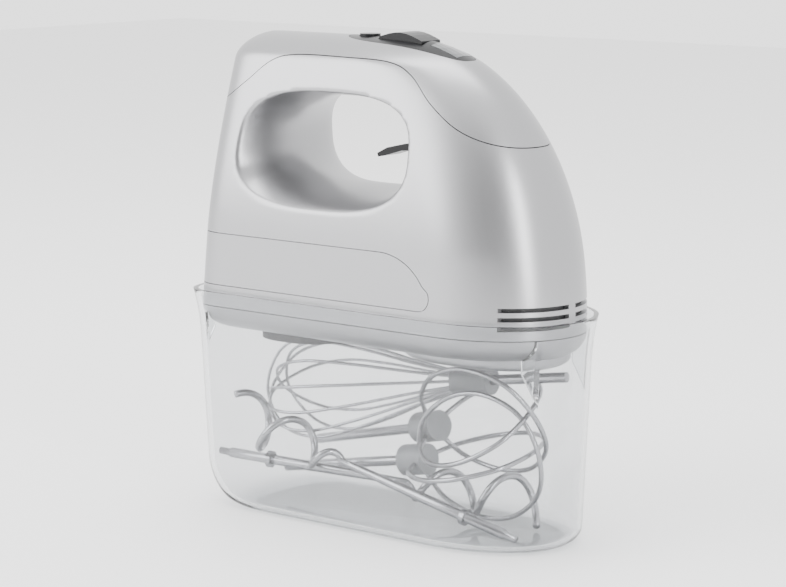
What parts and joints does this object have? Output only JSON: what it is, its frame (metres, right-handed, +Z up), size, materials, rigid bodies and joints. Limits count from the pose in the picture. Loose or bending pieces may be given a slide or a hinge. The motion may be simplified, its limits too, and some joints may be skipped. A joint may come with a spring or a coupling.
{
  "type": "hand mixer",
  "caption": "Silver electric hand mixer with a through handle, seated on a clear storage case that holds a balloon whisk, two wire beaters and two spiral dough hooks.",
  "frame": {"origin": "centre of the storage case on the surface it stands on", "axes": "+X towards the mixer's nose, +Z up, +Y to the side away from the band of the near side; the left spindle is at +Y"},
  "size_m": [0.212, 0.088, 0.2339],
  "materials": {
    "case_clear": "clear moulded plastic",
    "silver_plastic": "satin silver paint over plastic",
    "dark_rubber": "matt",
    "black_plastic": "gloss",
    "inner_plastic": "moulded",
    "window_plastic": "tinted, gloss",
    "hub_plastic": "grey, moulded",
    "gear_plastic": "natural acetal",
    "chrome_wire": "polished",
    "steel_part": "turned",
    "core_steel": "laminated",
    "copper_wire": "enamelled copper",
    "bronze": "sintered bronze",
    "die_cast": "die cast",
    "carbon": "carbon",
    "board_green": "circuit board"
  },
  "bodies": {
    "case": {"storage_case": "case_clear"},
    "mixer": {"main_housing": "silver_plastic", "top_cover": "silver_plastic", "bottom_cover": "silver_plastic", "rear_side_band": "silver_plastic", "rear_foot": "dark_rubber", "vent_baffle": "inner_plastic", "control_panel": "black_plastic", "rocker_pin": "steel_part", "display_window": "window_plastic", "control_board": "board_green", "lever_pivot_pin": "steel_part", "ejector_spring": "steel_part", "motor_stator": "core_steel", "field_coils": "copper_wire", "front_bearing": "bronze", "rear_bearing": "bronze", "brush_holders": "inner_plastic", "carbon_brushes": "carbon", "motor_bracket": "die_cast", "gearbox_frame": "die_cast", "spindle_bushes": "bronze", "motor_screws": "steel_part", "cover_screws": "steel_part", "power_board": "board_green", "cord_clamp": "inner_plastic"},
    "button": {"power_button": "black_plastic"},
    "rocker": {"speed_rocker": "black_plastic"},
    "lever": {"eject_lever": "black_plastic"},
    "ejector": {"ejector_yoke": "inner_plastic"},
    "rotor": {"rotor_core": "core_steel", "rotor_windings": "copper_wire", "commutator": "copper_wire", "motor_shaft": "steel_part", "drive_worm": "steel_part", "cooling_fan": "hub_plastic"},
    "left_drive": {"worm_wheel_left": "gear_plastic", "spindle_left": "steel_part"},
    "right_drive": {"worm_wheel_right": "gear_plastic", "spindle_right": "steel_part"},
    "gland": {"cord_gland": "inner_plastic"},
    "whisk": {"whisk_wires": "chrome_wire", "whisk_ferrule": "hub_plastic", "whisk_shaft": "chrome_wire"},
    "beater_a": {"beater_a_wires": "chrome_wire", "beater_a_collar": "hub_plastic", "beater_a_shaft": "chrome_wire"},
    "beater_b": {"beater_b_wires": "chrome_wire", "beater_b_collar": "hub_plastic", "beater_b_shaft": "chrome_wire"},
    "hook_a": {"dough_hook_a": "chrome_wire", "dough_hook_a_collar": "chrome_wire"},
    "hook_b": {"dough_hook_b": "chrome_wire", "dough_hook_b_collar": "chrome_wire"}
  },
  "joints": [
    {"name": "mixer_lift", "type": "slide", "parent": "case", "child": "mixer", "axis": [0, 0, 1], "range_m": [0, 0.3]},
    {"name": "button_press", "type": "slide", "parent": "mixer", "child": "button", "axis": [0, 0, -1], "range_m": [0, 0.0015], "stiffness_N_per_m": 400},
    {"name": "rocker_tilt", "type": "hinge", "parent": "mixer", "child": "rocker", "pos_m": [0.00575, 0, 0.226], "axis": [0, 1, 0], "range_deg": [-4, 4], "stiffness_Nm_per_rad": 0.2},
    {"name": "lever_pull", "type": "hinge", "parent": "mixer", "child": "lever", "pos_m": [0.046, 0, 0.178], "axis": [0, 1, 0], "range_deg": [0, 14], "stiffness_Nm_per_rad": 0.5, "springref_deg": -2.86},
    {"name": "ejector_slide", "type": "slide", "parent": "mixer", "child": "ejector", "axis": [0, 0, -1], "range_m": [0, 0.005], "deforming": ["ejector_spring"]},
    {"name": "rotor_spin", "type": "hinge", "parent": "mixer", "child": "rotor", "pos_m": [0, 0, 0.118], "axis": [1, 0, 0], "continuous": true},
    {"name": "left_spindle_spin", "type": "hinge", "parent": "mixer", "child": "left_drive", "pos_m": [0.052, 0.02, 0.118], "axis": [0, 0, 1], "continuous": true},
    {"name": "right_spindle_spin", "type": "hinge", "parent": "mixer", "child": "right_drive", "pos_m": [0.052, -0.02, 0.118], "axis": [0, 0, 1], "continuous": true},
    {"name": "gland_swivel", "type": "hinge", "parent": "mixer", "child": "gland", "pos_m": [-0.097, 0, 0.15], "axis": [1, 0, 0], "range_deg": [-90, 90]},
    {"name": "whisk_lift", "type": "slide", "parent": "case", "child": "whisk", "axis": [0, 0, 1], "range_m": [0, 0.12]},
    {"name": "beater_a_lift", "type": "slide", "parent": "case", "child": "beater_a", "axis": [0, 0, 1], "range_m": [0, 0.12]},
    {"name": "beater_b_lift", "type": "slide", "parent": "case", "child": "beater_b", "axis": [0, 0, 1], "range_m": [0, 0.12]},
    {"name": "hook_a_lift", "type": "slide", "parent": "case", "child": "hook_a", "axis": [0, 0, 1], "range_m": [0, 0.12]},
    {"name": "hook_b_lift", "type": "slide", "parent": "case", "child": "hook_b", "axis": [0, 0, 1], "range_m": [0, 0.12]}
  ],
  "couplings": [
    {"joint": "whisk_lift", "follows": "mixer_lift", "ratio": 0.4},
    {"joint": "beater_a_lift", "follows": "mixer_lift", "ratio": 0.4},
    {"joint": "beater_b_lift", "follows": "mixer_lift", "ratio": 0.4},
    {"joint": "hook_a_lift", "follows": "mixer_lift", "ratio": 0.4},
    {"joint": "hook_b_lift", "follows": "mixer_lift", "ratio": 0.4},
    {"joint": "ejector_slide", "follows": "lever_pull", "m_per_rad": 0.02},
    {"joint": "left_spindle_spin", "follows": "rotor_spin", "ratio": -0.066667},
    {"joint": "right_spindle_spin", "follows": "rotor_spin", "ratio": 0.066667}
  ]
}
